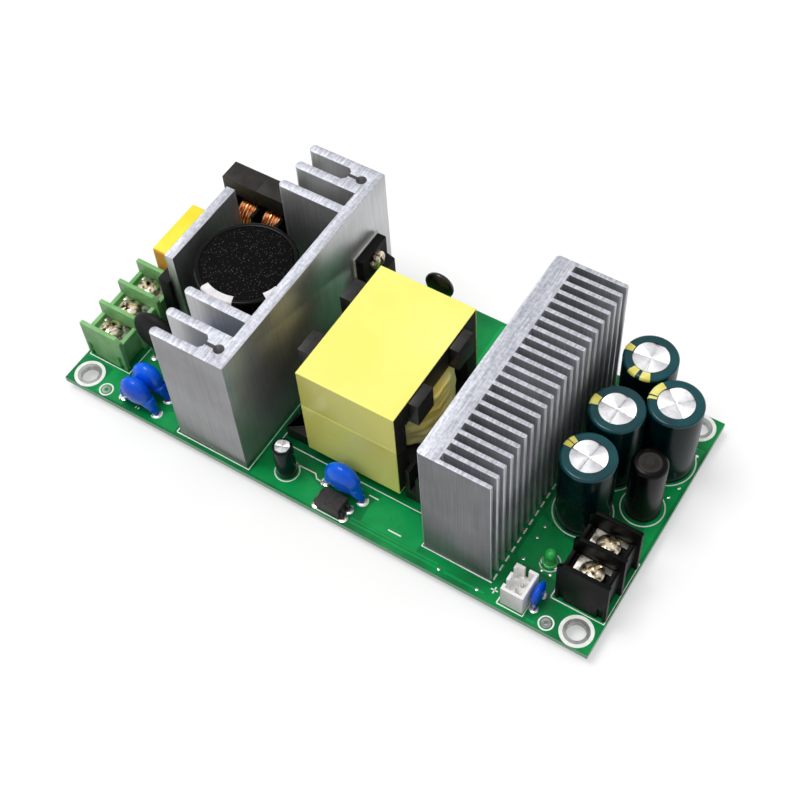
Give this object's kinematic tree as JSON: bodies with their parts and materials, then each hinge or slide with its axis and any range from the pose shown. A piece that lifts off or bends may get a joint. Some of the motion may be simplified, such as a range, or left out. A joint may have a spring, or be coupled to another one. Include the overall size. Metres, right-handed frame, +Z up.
{
  "type": "open frame power supply",
  "caption": "Open-frame switching power supply: green board with transformer, two finned aluminium heatsinks, capacitors and screw terminals.",
  "frame": {"origin": "centre of the four mounting holes, on the board's underside", "axes": "+X along the board from the mains input terminal to the output terminal, +Y from the front edge to the back edge, +Z up from the board"},
  "size_m": [0.148, 0.07, 0.0438],
  "materials": {
    "board_laminate": "satin solder mask",
    "terminal_green": "satin",
    "terminal_black": "satin",
    "screw_steel": "nickel plated",
    "tinned_metal": "tinned",
    "thermistor_coating": "matt dipped coating",
    "blue_coating": "glossy dipped coating",
    "yellow_case": "satin",
    "fuse_case": "satin",
    "ferrite": "matt sintered",
    "bobbin_plastic": "satin",
    "copper_wire": "enamelled copper",
    "package_plastic": "matt moulded",
    "plain_aluminium": "extruded, sawn ends",
    "black_sleeve": "shrunk sleeve",
    "green_sleeve": "shrunk sleeve",
    "pad_sheet": "insulating sheet",
    "yellow_tape": "polyester tape",
    "white_plastic": "satin",
    "green_lens": "diffused lens",
    "chip_ceramic": "glazed chip"
  },
  "bodies": {
    "root": {"bridge_heatsink": "plain_aluminium", "bridge_rectifier": "package_plastic", "bridge_screw": "screw_steel", "bulk_capacitor": "black_sleeve", "chip_resistors": "chip_ceramic", "choke_bobbin": "bobbin_plastic", "choke_core_left": "ferrite", "choke_core_right": "ferrite", "choke_winding_left": "copper_wire", "choke_winding_right": "copper_wire", "circuit_board": "board_laminate", "control_capacitor": "black_sleeve", "control_chip": "package_plastic", "fan_header_housing": "white_plastic", "fan_header_pins": "tinned_metal", "film_capacitor": "yellow_case", "indicator_lamp": "green_lens", "input_fuse": "fuse_case", "input_terminal_contacts": "tinned_metal", "input_terminal_housing": "terminal_green", "input_terminal_screws": "screw_steel", "inrush_thermistor": "thermistor_coating", "noise_capacitor": "blue_coating", "optocoupler": "package_plastic", "output_capacitor_a": "green_sleeve", "output_capacitor_b": "green_sleeve", "output_capacitor_c": "green_sleeve", "output_capacitor_d": "green_sleeve", "output_rectifier_front": "package_plastic", "output_rectifier_rear": "package_plastic", "output_terminal_contacts": "tinned_metal", "output_terminal_housing": "terminal_black", "output_terminal_screws": "screw_steel", "primary_heatsink": "plain_aluminium", "primary_heatsink_screws": "screw_steel", "rectifier_pads": "pad_sheet", "rectifier_screws": "screw_steel", "rod_inductor_core": "ferrite", "rod_inductor_tube": "black_sleeve", "safety_capacitor_front": "blue_coating", "safety_capacitor_link": "blue_coating", "safety_capacitor_rear": "blue_coating", "secondary_heatsink": "plain_aluminium", "secondary_heatsink_pins": "tinned_metal", "snubber_capacitor": "thermistor_coating", "switching_transistor": "package_plastic", "transformer_bobbin": "bobbin_plastic", "transformer_core_lower": "ferrite", "transformer_core_upper": "ferrite", "transformer_pins": "tinned_metal", "transformer_tape": "yellow_tape", "transformer_winding": "yellow_tape", "transistor_pad": "pad_sheet", "transistor_screw": "screw_steel"}
  },
  "joints": []
}
